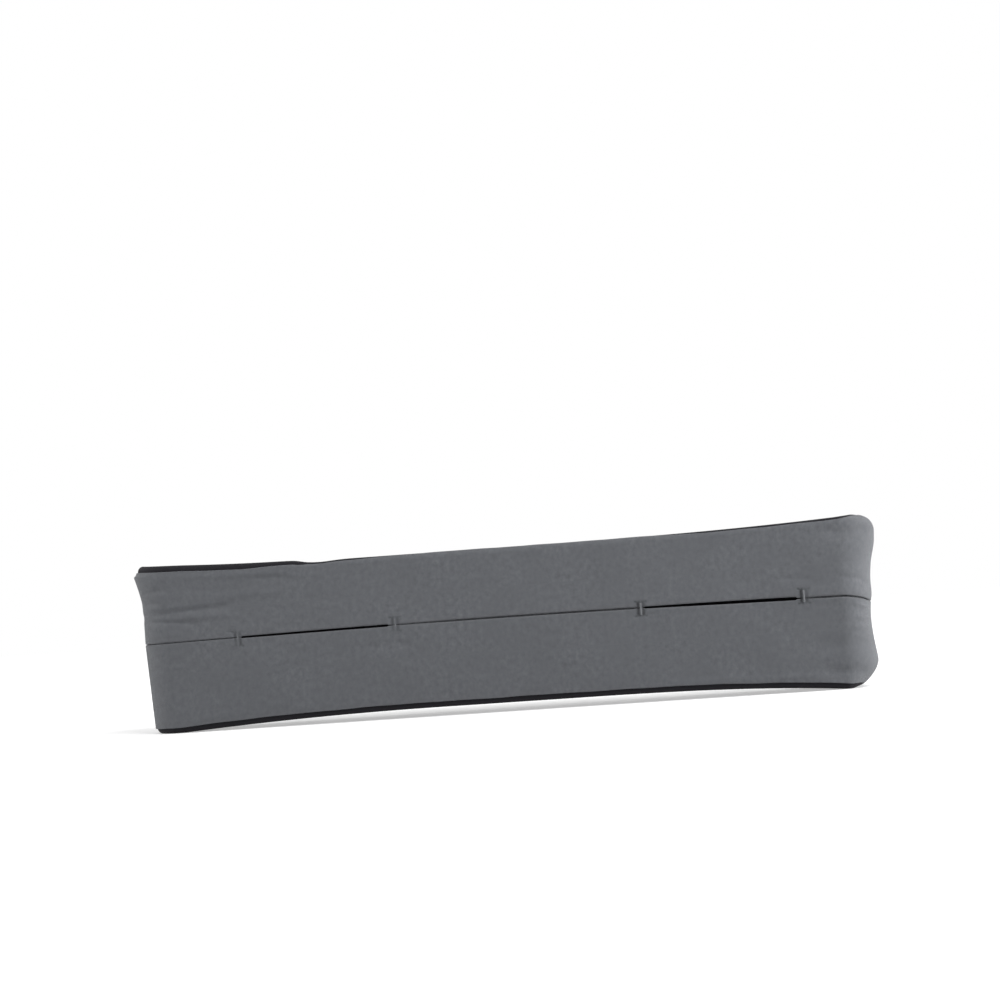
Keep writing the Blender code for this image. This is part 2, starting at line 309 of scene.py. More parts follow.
# Screen colours of the cloth and thread, and how strongly each one's finish shows
GREY_KNIT = (98, 100, 104)
# The black knit is set darker than its own colour, partly painted shade for its shaded top edge
BLACK_KNIT = (36, 35, 39)
GREY_THREAD = (112, 114, 118)
BLACK_THREAD = (38, 38, 42)
# Each look sets how dark the painted shade is in the knit's hollows and round the bar tacks
GREY_KNIT_LOOK = {"painted_stitch_shade": 0.12, "strokes": 0.55, "blotches": 0.20, "painted_crease_shade": 0.75,
                  "roughness": 0.9, "sheen": 0.2}
BLACK_KNIT_LOOK = {"painted_stitch_shade": 0.15, "strokes": 0.40, "blotches": 0.15, "painted_crease_shade": 0.0,
                   "roughness": 0.9, "sheen": 0.05}
GREY_THREAD_SHEEN = 0.3
BLACK_THREAD_SHEEN = 0.1

# The surround and the floor, and how far out the floor's glow starts to change and stops
WHITE = (1, 1, 1, 1)
FLOOR_COLOUR = (0.85, 0.85, 0.85, 1)
FLOOR_HALF = 4.0
FLOOR_HEIGHT = -0.0002
GLOW_FROM = 0.25
GLOW_TO = 0.9

# The photograph's pixel for the point half way up the belt's face at one x, and the camera, with its
# angles in degrees, its distance in metres and its lens in millimetres
PHOTO_SIZE = 1000
BELT_PIXEL = (507, 625)
BELT_PIXEL_X = 0.0028
CAMERA_TURN = 5.0
CAMERA_RISE = 0.7
CAMERA_DISTANCE = 1.0
CAMERA_ROLL = 4.07
LENS = 72.0
SENSOR = 36.0


# The loop and the cloth's relief

def smooth(share):
    """Ease from 0 to 1 as share goes from 0 to 1."""
    share = np.clip(share, 0, 1)
    return share * share * (3 - 2 * share)


def loop_path(s):
    """At s along the loop: the middle line's x, the way out, and which end it is at."""
    end = np.sign(s)
    past = np.abs(s) - X_TURN
    angle = np.clip(past / OUTER_FACE, 0, pi)
    x = np.where(past < 0, s, end * (X_TURN - np.maximum(past - TURN_LENGTH, 0)))
    return x, end * np.sin(angle), -np.cos(angle), end


def neck(side, s):
    """How much the pull narrows one side of the cloth at s: 1 at the ends, least in the middle."""
    full_at = np.where(s < 0, LEFT_FULL_AT[side], RIGHT_FULL_AT[side])
    power = np.where(s < 0, LEFT_NECK_POWER[side], RIGHT_NECK_POWER[side])
    kept = 0
    for nearby in (-NECK_EASE, 0, NECK_EASE):
        x, out_x, _, _ = loop_path(s + nearby)
        from_middle = np.abs(x + OUTER_FACE * out_x)
        share = np.clip((from_middle - NECK_HALF_LENGTH) / (full_at - NECK_HALF_LENGTH), 0, 1)
        kept = kept + share ** power / 3
    return 1 - (1 - NECK_WIDTH / BELT_WIDTH) * (1 - kept)


def corner_inset(radius, from_edge):
    """How far a corner rounded to a radius lies inside a square one, at a distance from the edge."""
    return radius - np.sqrt(radius ** 2 - np.maximum(radius - from_edge, 0) ** 2)


def ramp(value, start, end):
    """Ease from 0 at a start value to 1 at an end value."""
    return smooth((value - start) / (end - start))


def bow(share, most_at):
    """A swell over the width: 0 at both edges, 1 at one share of it."""
    return np.sin(pi * share ** (np.log(0.5) / np.log(most_at))) ** 2


def end_shift(end, z):
    """How far an end gives way to the pull: leaning in on the left, bowed in and rounded on the right."""
    share = np.clip(z / BELT_WIDTH, 0, 1)
    lean = LEFT_LEAN * (1 - share ** LEFT_LEAN_POWER) + LEFT_DRAW * bow(share, LEFT_DRAW_SHARE)
    flared = np.clip((share - LEFT_FLARE_FROM) / (LEFT_FLARE_FULL - LEFT_FLARE_FROM), 0, 1)
    tip = 1 - LEFT_TIP_DROP * ramp(share, LEFT_FLARE_FULL, LEFT_TIP_TOP)
    left = lean - LEFT_FLARE * flared ** LEFT_FLARE_POWER * tip
    top = corner_inset(RIGHT_TOP_CORNER, (1 - share) * BELT_WIDTH)
    in_cut = np.maximum(1 - share * BELT_WIDTH / RIGHT_CUT_HEIGHT, 0)
    bottom = RIGHT_CUT_LENGTH * in_cut ** RIGHT_CUT_POWER
    swell = RIGHT_SWELL * np.exp(-((share - RIGHT_SWELL_AT) / RIGHT_SWELL_REACH) ** 2)
    flare = RIGHT_FLARE * ramp(share, RIGHT_FLARE_FROM, RIGHT_FLARE_FULL)
    right = flare + swell - RIGHT_DRAW * bow(share, RIGHT_DRAW_SHARE) - top - bottom
    return np.where(end < 0, left, right)


def seam_rise(s, d):
    """How far the cloth rises with the centre line along the front, less its dip at the right turn."""
    between_hinges = np.clip(1 - (d / LIP_REACH) ** 2, 0, 1) ** 2
    on_front = 1 - smooth((np.abs(s) - BOW_FADES_AT) / BOW_FADES_OVER)
    up = SEAM_BOW * np.cos(pi * s / BOW_LENGTH) * on_front
    down = ramp(s, DIP_START, DIP_FULL) * ramp(s, DIP_END, DIP_FULL)
    return up * between_hinges - SEAM_DIP * down * np.exp(-(d / DIP_REACH) ** 2)


def node_centre(node):
    """The middle of a frame node."""
    low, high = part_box(node)
    return (low + high) / 2


TACK_X = {tack: node_centre(tack).x for tack in TACKS}
WINDOW = {mouth: [corner.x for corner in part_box(mouth + "_upper_lip")] for mouth in MOUTHS}


def near_line(x, y, from_x, from_y, to_x, to_y):
    """How far along a line its nearest point lies, as a share, and how far away it is."""
    along_x, along_y = to_x - from_x, to_y - from_y
    length_squared = along_x ** 2 + along_y ** 2
    share = np.clip(((x - from_x) * along_x + (y - from_y) * along_y) / length_squared, 0, 1)
    return share, np.hypot(x - from_x - share * along_x, y - from_y - share * along_y)


def fold_relief(s, d):
    """Ridges and furrows where the cloth is drawn."""
    height = 0
    for *ends, half_width, rise in FOLDS:
        share, away = near_line(s, SEAM_HEIGHT + d, *ends)
        kept = 1 - FOLD_FADE * (2 * share - 1) ** 4
        height = height + rise * np.exp(-(away / half_width) ** 2) * kept
    return height


def tack_moat(s, d):
    """How hard bar tacks pull the cloth in, from 0 to 1: along their sides, in puckers at their corners. It
    also sets the painted shade there.
    """
    moat = 0
    for tack, x in TACK_X.items():
        top_left, bottom_left, top_right, bottom_right = TACK_PULL[tack]
        shift, _ = TACK_SEWN[tack]
        from_tack = d - shift
        up = smooth(0.5 + from_tack / (2 * TACK_MOAT_HALF))
        right = smooth(0.5 + (s - x) / (2 * TACK_MOAT_RADIUS))
        left_pull = bottom_left + (top_left - bottom_left) * up
        right_pull = bottom_right + (top_right - bottom_right) * up
        past_end = np.maximum(np.abs(from_tack) - TACK_MOAT_HALF, 0)
        away = np.hypot(s - x, past_end)
        sideways = TACK_MOAT_ENDS + (1 - TACK_MOAT_ENDS) * np.abs(s - x) / np.maximum(away, LEAST_AWAY)
        ring = sideways * np.exp(-((away - TACK_MOAT_RADIUS) / TACK_MOAT_SPREAD) ** 2)
        _, from_pucker = near_line(np.abs(s - x), np.abs(from_tack), *PUCKER_FROM, *PUCKER_TO)
        pucker = PUCKER_PULL * np.exp(-(from_pucker / PUCKER_HALF_WIDTH) ** 2)
        moat = moat + (left_pull + (right_pull - left_pull) * right) * np.maximum(ring, pucker)
    return moat


def hinge_stillness(s, d):
    """0 on the lines where the lips bend, 1 away from them."""
    near = 0
    for low, high in WINDOW.values():
        outside = np.maximum(np.maximum(low - s, s - high), 0)
        near = near + 1 - smooth(outside / STILL_PAST_ENDS)
    return 1 - near * np.exp(-((np.abs(d) - LIP_REACH) / STILL_TO_SIDES) ** 2)


def relief(s, d):
    """How far the outer face stands proud of its plain shape."""
    waves = sum(height * np.sin(2 * pi * (s / along + d / up) + phase)
                for along, up, phase, height in WAVES)
    crown = CROWN * (1 - np.hypot(d, CROWN_SOFT) / LIP_REACH)
    drawn = hinge_stillness(s, d) * (fold_relief(s, d) + waves)
    return crown + drawn - TACK_MOAT_DEPTH * tack_moat(s, d)


def place(s, offset, d):
    """A point of the belt: s along the loop, offset out from the skin face, d up from the centre line."""
    x, out_x, out_y, end = loop_path(s)
    share = np.clip(offset / TUBE_DEPTH, 0, 1)
    ripple = SKIN_WAVE * np.sin(2 * pi * (s / SKIN_WAVE_ALONG + d / SKIN_WAVE_UP))
    skin = ripple * np.sin(2 * pi * s / SKIN_WAVE_SWELL)
    offset = offset + share * relief(s, d) + (1 - share) * skin
    z = np.maximum(SEAM_HEIGHT + d + seam_rise(s, d), 0)
    aside = (SKIN_RADIUS + offset) * out_x + np.abs(out_x) * end_shift(end, z)
    return np.stack(np.broadcast_arrays(x + aside, (SKIN_RADIUS + offset) * out_y, z), axis=-1)


def way_out(s, offset, d):
    """The direction straight out of the cloth at a point, however it slants there."""
    step = 1e-5
    along = place(s + step, offset, d) - place(s - step, offset, d)
    up = place(s, offset, d + step) - place(s, offset, d - step)
    out = np.cross(along, up)
    return out / np.linalg.norm(out, axis=-1, keepdims=True)


# Sections of the cloth, as offsets out and distances from the centre line

def stretch(start, end, step):
    """Values from start up to, but without, end, about a step apart."""
    return np.linspace(start, end, max(1, round((end - start) / step)), endpoint=False)


def loop_stations():
    """Values of s once round the loop, closest together at the tacks."""
    turn_end = X_TURN + TURN_LENGTH
    marks = [-X_TURN, X_TURN]
    for x in TACK_X.values():
        marks += [x - TACK_ZONE, x + TACK_ZONE]
    for low, high in WINDOW.values():
        marks += [low, (low + high) / 2, high]
    marks.sort()
    parts = [stretch(-HALF_LOOP, -turn_end, BACK_STEP), stretch(-turn_end, -X_TURN, TURN_STEP)]
    for start, end in zip(marks, marks[1:]):
        middle = (start + end) / 2
        at_tack = any(abs(middle - x) < TACK_ZONE for x in TACK_X.values())
        parts.append(stretch(start, end, TACK_STEP if at_tack else FRONT_STEP))
    parts += [stretch(X_TURN, turn_end, TURN_STEP), stretch(turn_end, HALF_LOOP, BACK_STEP), [HALF_LOOP]]
    return np.concatenate(parts)


def seam_gap(s):
    """Half the gap between the turned edges: shut at the turns, a hair where sewn, open in the mouths."""
    sewn = SEAM_LEFT_GAP + (SEAM_RIGHT_GAP - SEAM_LEFT_GAP) * ramp(s, SEAM_WIDENS_FROM, SEAM_WIDENS_TO)
    sewn = sewn * (1 - SHUT_AT_TURNS * smooth((np.abs(s) - SEAM_CLOSES_AT) / SEAM_CLOSES_OVER))
    for x in TACK_X.values():
        sewn = sewn * (1 - SHUT_AT_TACKS * np.exp(-((s - x) / TACK_CLOSES) ** 2))
    gap = sewn
    for mouth, (low, high) in WINDOW.items():
        from_left, from_right = s - low - SLIT_LEFT_INSET, high - SLIT_RIGHT_INSET - s
        open_share = smooth(from_left / SLIT_TAPER) * smooth(from_right / SLIT_TAPER)
        share = np.clip((s - low) / (high - low), 0, 1)
        slit = SLIT_LEFT_GAP + (SLIT_RIGHT_GAP[mouth] - SLIT_LEFT_GAP) * share * (2 - share)
        gap = gap + (slit - sewn) * open_share
    return gap


def roll_centre(side, s):
    """Distance from the centre line to the middle of the rolled edge."""
    if side == UPPER:
        push = smooth((s - PUSH_START) / PUSH_START_OVER) * smooth((PUSH_END - s) / PUSH_END_OVER)
        dent = np.exp(-((s - DENT_AT) / DENT_REACH) ** 2)
        plain = (BELT_WIDTH - SEAM_HEIGHT) * neck(side, s)
        return plain + PUSH_RISE * push - DENT_DEPTH * dent - LINING_ROLL
    return (SEAM_HEIGHT + FOOT_CUT) * neck(side, s) - LINING_ROLL


def band(side, s):
    """How wide the lining shows past the grey edge."""
    places, widths = zip(*(TOP_BAND if side == UPPER else BOTTOM_BAND))
    short, middling, long = EDGE_WAVE_LENGTHS
    wave = np.sin(s / short) + np.sin(s / middling + side) + np.sin(s / long)
    return np.interp(s, places, widths) + EDGE_WAVE * wave


def across(start, end, count):
    """Columns of values from start to end, for every station."""
    return start + (end - start) * np.linspace(0, 1, count)


def joined(*columns):
    """One section from (offset, distance) columns."""
    pairs = [np.broadcast_arrays(offset, distance) for offset, distance in columns]
    return np.hstack([pair[0] for pair in pairs]), np.hstack([pair[1] for pair in pairs])


def on_roll(radius, angle, centre):
    """Points at a radius round the rolled edge, by angle from straight out."""
    return LINING_ROLL + radius * np.cos(angle), centre + radius * np.sin(angle)


def strip_section(side, s):
    """A grey strip: offsets, distances, and how many of the points belong to the lip."""
    s = s[:, None]
    gap, centre = seam_gap(s), roll_centre(side, s)
    edge = np.arcsin((LINING_ROLL - FABRIC / 2 - band(side, s)) / GREY_ROLL)
    lead = -ROLL_LEAD / GREY_ROLL
    hem_end, fold_start = gap + HEM, gap + FOLD_RADIUS
    inside, behind = TUBE_DEPTH - FABRIC, TUBE_DEPTH - 2 * FABRIC
    quarter = np.linspace(0, pi / 2, FOLD_POINTS)[None, 1:]
    rise, fall = FOLD_RADIUS * np.sin(quarter), FOLD_RADIUS * np.cos(quarter)
    lip_part = joined(
        (TUBE_DEPTH, across(LIP_REACH, hem_end, LIP_POINTS)),
        (TUBE_DEPTH, across(hem_end, fold_start, HEM_POINTS)[:, 1:]),
        (TUBE_DEPTH - FOLD_RADIUS + fall, fold_start - rise),
        (behind + FOLD_RADIUS, gap),
        (behind + FOLD_RADIUS - rise, fold_start - fall),
        (behind, across(fold_start, hem_end, HEM_POINTS)[:, 1:]),
        (inside, across(hem_end, LIP_REACH, LIP_POINTS)))
    # Three points round off the raw edge
    round_end = np.radians([[135, 90, 45]])
    radial = GREY_ROLL - FABRIC / 2 + FABRIC / 2 * np.cos(round_end)
    past_edge = FABRIC / 2 * np.sin(round_end) / GREY_ROLL
    wall_part = joined(
        (inside, across(LIP_REACH, centre - ROLL_LEAD, WALL_POINTS)[:, 1:]),
        on_roll(GREY_ROLL - FABRIC, across(lead, edge, ROLL_POINTS)[:, 1:], centre),
        on_roll(radial, edge + past_edge, centre),
        on_roll(GREY_ROLL, across(edge, lead, ROLL_POINTS), centre),
        (TUBE_DEPTH, across(centre - ROLL_LEAD, LIP_REACH, WALL_POINTS)[:, 1:-1]))
    offset, distance = joined(lip_part, wall_part)
    return offset, side * distance, lip_part[0].shape[1]


def lining_section(s):
    """The black lining: skin wall, both edges rolled to the front, and a flange behind the grey."""
    s = s[:, None]
    top, bottom = roll_centre(UPPER, s), -roll_centre(LOWER, s)
    half_turn = np.linspace(pi, 0, LINING_ROLL_POINTS)[None, :]

    def wall(thickness):
        """One face of the lining, from the lower flange over the skin side to the upper one."""
        radius = LINING_ROLL - thickness
        return joined(
            (LINING_ROLL + radius, across(bottom + FLANGE, bottom, FLANGE_POINTS)[:, :-1]),
            on_roll(radius, -half_turn[:, ::-1], bottom),
            (thickness, across(bottom, top, LINING_POINTS)[:, 1:-1]),
            on_roll(radius, half_turn, top),
            (LINING_ROLL + radius, across(top, top - FLANGE, FLANGE_POINTS)[:, 1:]))

    skin, pocket = wall(0), wall(FABRIC)
    tip = 2 * LINING_ROLL - FABRIC / 2
    return joined(
        skin, (tip, top - FLANGE - FLANGE_TIP),
        (pocket[0][:, ::-1], pocket[1][:, ::-1]), (tip, bottom + FLANGE + FLANGE_TIP))


# Meshes

def ring_faces(rows, count):
    """Quads and end caps of a closed tube of rows rings, each of count points."""
    i, j = np.meshgrid(np.arange(rows - 1), np.arange(count), indexing="ij")
    here, there = i * count, (i + 1) * count
    after = (j + 1) % count
    quads = np.stack([here + j, here + after, there + after, there + j], axis=-1)
    caps = [list(range(count)), list(range((rows - 1) * count, rows * count))]
    return quads.reshape(-1, 4).tolist() + caps


def add_piece(name, mesh, body="belt"):
    """A new object for a finished mesh, riding on a body unless it is to bend."""
    piece = bpy.data.objects.new(name, mesh)
    bpy.context.scene.collection.objects.link(piece)
    if body:
        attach(piece, body)
    return piece


def keep_vectors(mesh, name, vectors):
    """Store one vector for each point of a mesh."""
    attribute = mesh.attributes.new(name, "FLOAT_VECTOR", "POINT")
    attribute.data.foreach_set("vector", vectors.reshape(-1).astype(np.float32))


def cloth_mesh(name, points, cloth, faces, finish):
    """A smooth closed mesh that keeps where each point is in the cloth."""
    mesh = bpy.data.meshes.new(name)
    mesh.from_pydata(points.reshape(-1, 3).tolist(), [], faces)
    keep_vectors(mesh, "cloth", cloth)
    bm = bmesh.new()
    bm.from_mesh(mesh)
    bmesh.ops.delete(bm, geom=[vert for vert in bm.verts if not vert.link_faces], context="VERTS")
    bmesh.ops.recalc_face_normals(bm, faces=bm.faces)
    bm.to_mesh(mesh)
    bm.free()
    mesh.materials.append(finish)
    mesh.shade_smooth()
    mesh.set_sharp_from_angle(angle=SHARP_ANGLE)
    return mesh


def cloth_places(s, offset, d):
    """Where each point lies in the cloth: along it, across it, and how much painted shade it takes in a
    crease.
    """
    step = np.hypot(np.diff(offset, axis=1), np.diff(d, axis=1))
    across_cloth = np.hstack([np.zeros((len(s), 1)), np.cumsum(step, axis=1)])
    along = np.broadcast_to(s[:, None], offset.shape)
    outer = offset > OUTER_SHARE * TUBE_DEPTH
    # Painted shade: the outer face is darkened where the bar tacks draw the cloth in
    painted_crease_shade = np.clip(tack_moat(along, d), 0, 1) * outer
    return np.stack([along, across_cloth, painted_crease_shade], axis=-1)


def make_strip(side, s, finish):
    """A grey strip with its windows, and the two halves of each lip that fill them."""
    word = "upper" if side == UPPER else "lower"
    offset, d, lip_count = strip_section(side, s)
    points = place(s[:, None], offset, d)
    cloth = cloth_places(s, offset, d)
    rows, count = offset.shape
    windows = [[int(np.argmin(np.abs(s - x))) for x in WINDOW[mouth]] for mouth in MOUTHS]

    def in_window(row):
        """Whether the cloth from this row to the next is left to a lip."""
        return any(first <= row < last for first, last in windows)

    faces = [face for n, face in enumerate(ring_faces(rows, count))
             if not (n < (rows - 1) * count and n % count < lip_count - 1 and in_window(n // count))]
    for first, last in windows:
        for row in range(first, last):
            here, there = row * count, (row + 1) * count
            faces.append([here + lip_count - 1, here, there, there + lip_count - 1])
        faces += [[row * count + j for j in range(lip_count)] for row in (first, last)]
    name = f"outer_{word}_cloth"
    strip = add_piece(name, cloth_mesh(name, points, cloth, faces, finish))
    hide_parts(f"outer_{word}_strip")

    lips = []
    for mouth, (first, last) in zip(MOUTHS, windows):
        middle = int(np.argmin(np.abs(s - sum(WINDOW[mouth]) / 2)))
        for half, held, free in (("left", first, middle), ("right", last, middle)):
            used = slice(min(held, free), max(held, free) + 1)
            lip_points, lip_cloth = points[used, :lip_count], cloth[used, :lip_count]
            name = f"{mouth}_{word}_lip_{half}_half"
            mesh = cloth_mesh(name, lip_points, lip_cloth, ring_faces(len(lip_points), lip_count), finish)
            lip = add_piece(name, mesh, body=None)
            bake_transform(lip)
            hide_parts(f"{mouth}_{word}_lip")
            lips.append(lip)
    return strip, lips


def make_lining(s, finish):
    """The black lining in one piece."""
    offset, d = lining_section(s)
    mesh = cloth_mesh("lining_cloth", place(s[:, None], offset, d), cloth_places(s, offset, d),
                      ring_faces(*offset.shape), finish)
    lining = add_piece("lining_cloth", mesh)
    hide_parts("lining_strip")
    return lining


# Node helpers

def set_sockets(tree, node, sockets):
    """Set a node's inputs to values, or link them to other nodes' outputs."""
    for key, value in sockets.items():
        if isinstance(value, bpy.types.NodeSocket):
            tree.links.new(value, node.inputs[key])
        else:
            node.inputs[key].default_value = value


def add_node(tree, kind, sockets=None, **settings):
    """A new node with its settings, and its inputs set or linked."""
    made = tree.nodes.new(kind)
    for name, value in settings.items():
        setattr(made, name, value)
    set_sockets(tree, made, sockets or {})
    return made


def maths(tree, operation, first, second=0.0, third=0.0):
    """One Math node's result."""
    sockets = {0: first, 1: second, 2: third}
    return add_node(tree, "ShaderNodeMath", sockets, operation=operation).outputs[0]


def new_group(name, kind, inputs, outputs):
    """An empty node group with named sockets, its input node and its output node."""
    tree = bpy.data.node_groups.new(name, kind)
    for socket_name, socket_kind in inputs:
        tree.interface.new_socket(socket_name, in_out="INPUT", socket_type=socket_kind)
    for socket_name, socket_kind in outputs:
        tree.interface.new_socket(socket_name, in_out="OUTPUT", socket_type=socket_kind)
    return tree, tree.nodes.new("NodeGroupInput").outputs, tree.nodes.new("NodeGroupOutput")


# Stitches

def make_stitch_row():
    """Geometry nodes that sew a row of arched stitches along an edge path."""
    sizes = ("Spacing", "Length", "Rise", "Thread Radius", "Turn", "Alternate Turn", "Unevenness")
    tree, given, out = new_group(
        "stitch_row", "GeometryNodeTree",
        [("Path", "NodeSocketGeometry")] + [(name, "NodeSocketFloat") for name in sizes]
        + [("Seed", "NodeSocketInt"), ("Thread", "NodeSocketMaterial")],
        [("Stitches", "NodeSocketGeometry")])
    half = maths(tree, "MULTIPLY", given["Length"], 0.5)
    sunk = maths(tree, "MULTIPLY", given["Thread Radius"], -1.0)
    # The arch climbs only half way to its middle handle
    high = maths(tree, "MULTIPLY", given["Rise"], 2.0)
    start = add_node(tree, "ShaderNodeCombineXYZ", {"X": maths(tree, "MULTIPLY", half, -1.0), "Z": sunk})
    middle = add_node(tree, "ShaderNodeCombineXYZ", {"Z": high})
    end = add_node(tree, "ShaderNodeCombineXYZ", {"X": half, "Z": sunk})
    arch = add_node(tree, "GeometryNodeCurveQuadraticBezier",
                    {"Resolution": ARCH_POINTS, "Start": start.outputs[0], "Middle": middle.outputs[0],
                     "End": end.outputs[0]})
    round_thread = add_node(tree, "GeometryNodeCurvePrimitiveCircle",
                            {"Resolution": THREAD_SIDES, "Radius": given["Thread Radius"]}, mode="RADIUS")
    stitch = add_node(tree, "GeometryNodeCurveToMesh",
                      {"Curve": arch.outputs[0], "Profile Curve": round_thread.outputs[0],
                       "Fill Caps": True})

    path = add_node(tree, "GeometryNodeMeshToCurve", {"Mesh": given["Path"]})
    points = add_node(tree, "GeometryNodeCurveToPoints",
                      {"Curve": path.outputs[0], "Length": given["Spacing"]}, mode="LENGTH")
    outward = add_node(tree, "GeometryNodeInputNamedAttribute", {"Name": "outward"},
                       data_type="FLOAT_VECTOR")
    upright = add_node(tree, "FunctionNodeAlignRotationToVector", {"Vector": outward.outputs[0]}, axis="Z")
    aligned = add_node(tree, "FunctionNodeAlignRotationToVector",
                       {"Rotation": upright.outputs[0], "Vector": points.outputs["Tangent"]},
                       axis="X", pivot_axis="Z")
    index = add_node(tree, "GeometryNodeInputIndex").outputs[0]
    sign = maths(tree, "MULTIPLY_ADD", maths(tree, "MODULO", index, 2.0), 2.0, -1.0)
    uneven = add_node(tree, "FunctionNodeRandomValue",
                      {2: maths(tree, "MULTIPLY", given["Unevenness"], -1.0), 3: given["Unevenness"],
                       "Seed": given["Seed"]}, data_type="FLOAT")
    turn = maths(tree, "MULTIPLY_ADD", sign, given["Alternate Turn"], given["Turn"])
    turn = maths(tree, "ADD", turn, uneven.outputs[1])
    turned = add_node(tree, "FunctionNodeAxisAngleToRotation", {"Axis": (0, 0, 1), "Angle": turn})
    rotation = add_node(tree, "FunctionNodeRotateRotation",
                        {"Rotation": aligned.outputs[0], "Rotate By": turned.outputs[0]},
                        rotation_space="LOCAL")
    row = add_node(tree, "GeometryNodeInstanceOnPoints",
                   {"Points": points.outputs["Points"], "Instance": stitch.outputs[0],
                    "Rotation": rotation.outputs[0]})
    real = add_node(tree, "GeometryNodeRealizeInstances", {"Geometry": row.outputs[0]})
    smoothed = add_node(tree, "GeometryNodeSetShadeSmooth", {"Geometry": real.outputs[0]})
    dressed = add_node(tree, "GeometryNodeSetMaterial",
                       {"Geometry": smoothed.outputs[0], "Material": given["Thread"]})
    tree.links.new(dressed.outputs[0], out.inputs["Stitches"])
    return tree


def sew(tree, points, outward, thread, stitch):
    """A plain mesh of one row of stitches along points."""
    mesh = bpy.data.meshes.new("stitch_path")
    mesh.from_pydata(points.tolist(), [(i, i + 1) for i in range(len(points) - 1)], [])
    keep_vectors(mesh, "outward", outward)
    path = bpy.data.objects.new("stitch_path", mesh)
    bpy.context.scene.collection.objects.link(path)
    modifier = path.modifiers.new("stitches", "NODES")
    modifier.node_group = tree
    identifier = {item.name: item.identifier for item in tree.interface.items_tree
                  if item.in_out == "INPUT"}
    modifier[identifier["Thread"]] = thread
    for name, value in stitch.items():
        modifier[identifier[name]] = value
    sewn = bpy.data.meshes.new_from_object(path.evaluated_get(bpy.context.evaluated_depsgraph_get()))
    bpy.data.objects.remove(path)
    bpy.data.meshes.remove(mesh)
    return sewn


def make_thread_piece(name, node, thread, rows):
    """One piece of all its rows of stitches, in place of a frame node."""
    bm = bmesh.new()
    for row in rows:
        bm.from_mesh(row)
        bpy.data.meshes.remove(row)
    for face in bm.faces:
        face.material_index = 0
    mesh = bpy.data.meshes.new(name)
    bm.to_mesh(mesh)
    bm.free()
    mesh.materials.append(thread)
    piece = add_piece(name, mesh)
    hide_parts(node)


def along_loop(tree, s, offset, d, facing, thread, stitch):
    """A row of stitches round the loop at a depth and height, facing out or in."""
    return sew(tree, place(s, offset, d), facing * way_out(s, offset, d), thread, stitch)


def make_tack(tree, tack, thread):
    """Satin stitches wrapped over the end of a slit."""
    shift, sunk = TACK_SEWN[tack]
    d = shift + np.linspace(-TACK_HEIGHT / 2, TACK_HEIGHT / 2, TACK_POINTS)
    s = np.full_like(d, TACK_X[tack])
    row = along_loop(tree, s, TUBE_DEPTH - sunk, d, OUTWARD, thread, TACK_STITCH)
    make_thread_piece(tack.replace("_tack", "_bar_tack"), tack, thread, [row])


def make_centre_seams(tree, s, thread):
    """The seam thread left of the mouths, between them and right of them."""
    left_inner, left_outer, right_inner, right_outer = (TACK_X[tack] for tack in TACKS)
    spans = {"left": s[s <= left_outer], "middle": s[(s >= left_inner) & (s <= right_inner)],
             "right": s[s >= right_outer]}
    offset = TUBE_DEPTH - SEAM_THREAD_DEPTH
    for word, span in spans.items():
        row = along_loop(tree, span, offset, np.zeros_like(span), OUTWARD, thread, LOCK_STITCH)
        make_thread_piece(f"centre_seam_{word}_thread", f"centre_seam_{word}", thread,
                          [row])


def make_edge_seams(tree, s, thread):
    """Overlocking over the raw edge of the lining, inside the tube."""
    inner_face = 2 * LINING_ROLL - FABRIC
    for word, side in (("top", UPPER), ("bottom", LOWER)):
        d = side * (roll_centre(side, s) - FLANGE / 2)
        row = along_loop(tree, s, inner_face, d, INWARD, thread, OVERLOCK_STITCH)
        make_thread_piece(f"{word}_edge_thread", f"{word}_edge_seam", thread, [row])


def make_closing_seam(tree, word, offset, facing, thread):
    """Flat cover stitches over the join at the back, with a needle row down each side."""
    width = NECK_WIDTH - 2 * CLOSING_INSET
    middle = (BELT_WIDTH / 2 - SEAM_HEIGHT) * NECK_WIDTH / BELT_WIDTH
    d = np.linspace(-0.5, 0.5, CLOSING_POINTS) * width + middle
    rows = [along_loop(tree, np.full_like(d, HALF_LOOP), offset, d, facing, thread, COVER_STITCH)]
    for inset in (CLOSING_NEEDLE_INSET, CLOSING_WIDTH - CLOSING_NEEDLE_INSET):
        away = HALF_LOOP - CLOSING_WIDTH / 2 + inset
        rows.append(along_loop(tree, np.full_like(d, away), offset, d, facing, thread, LOCK_STITCH))
    make_thread_piece(f"closing_seam_{word}_thread", f"closing_seam_{word}", thread, rows)


# Finishes

def linear(value):
    """A screen colour value, 0 to 255, as the linear value that a shader takes, by the sRGB curve."""
    share = value / 255
    return share / 12.92 if share <= 0.04045 else ((share + 0.055) / 1.055) ** 2.4


def new_finish(name):
    """A new material, its node tree and its shader."""
    finish = bpy.data.materials.new(name)
    finish.use_nodes = True
    return finish, finish.node_tree, finish.node_tree.nodes["Principled BSDF"]


def tinted(tree, screen, value):
    """A screen colour, made darker or lighter over the surface by a value."""
    colour = [linear(part) for part in screen] + [1]
    mixed = add_node(tree, "ShaderNodeMix", {"Factor": 1.0, 6: colour, 7: value},
                     data_type="RGBA", blend_type="MULTIPLY")
    return mixed.outputs[2]


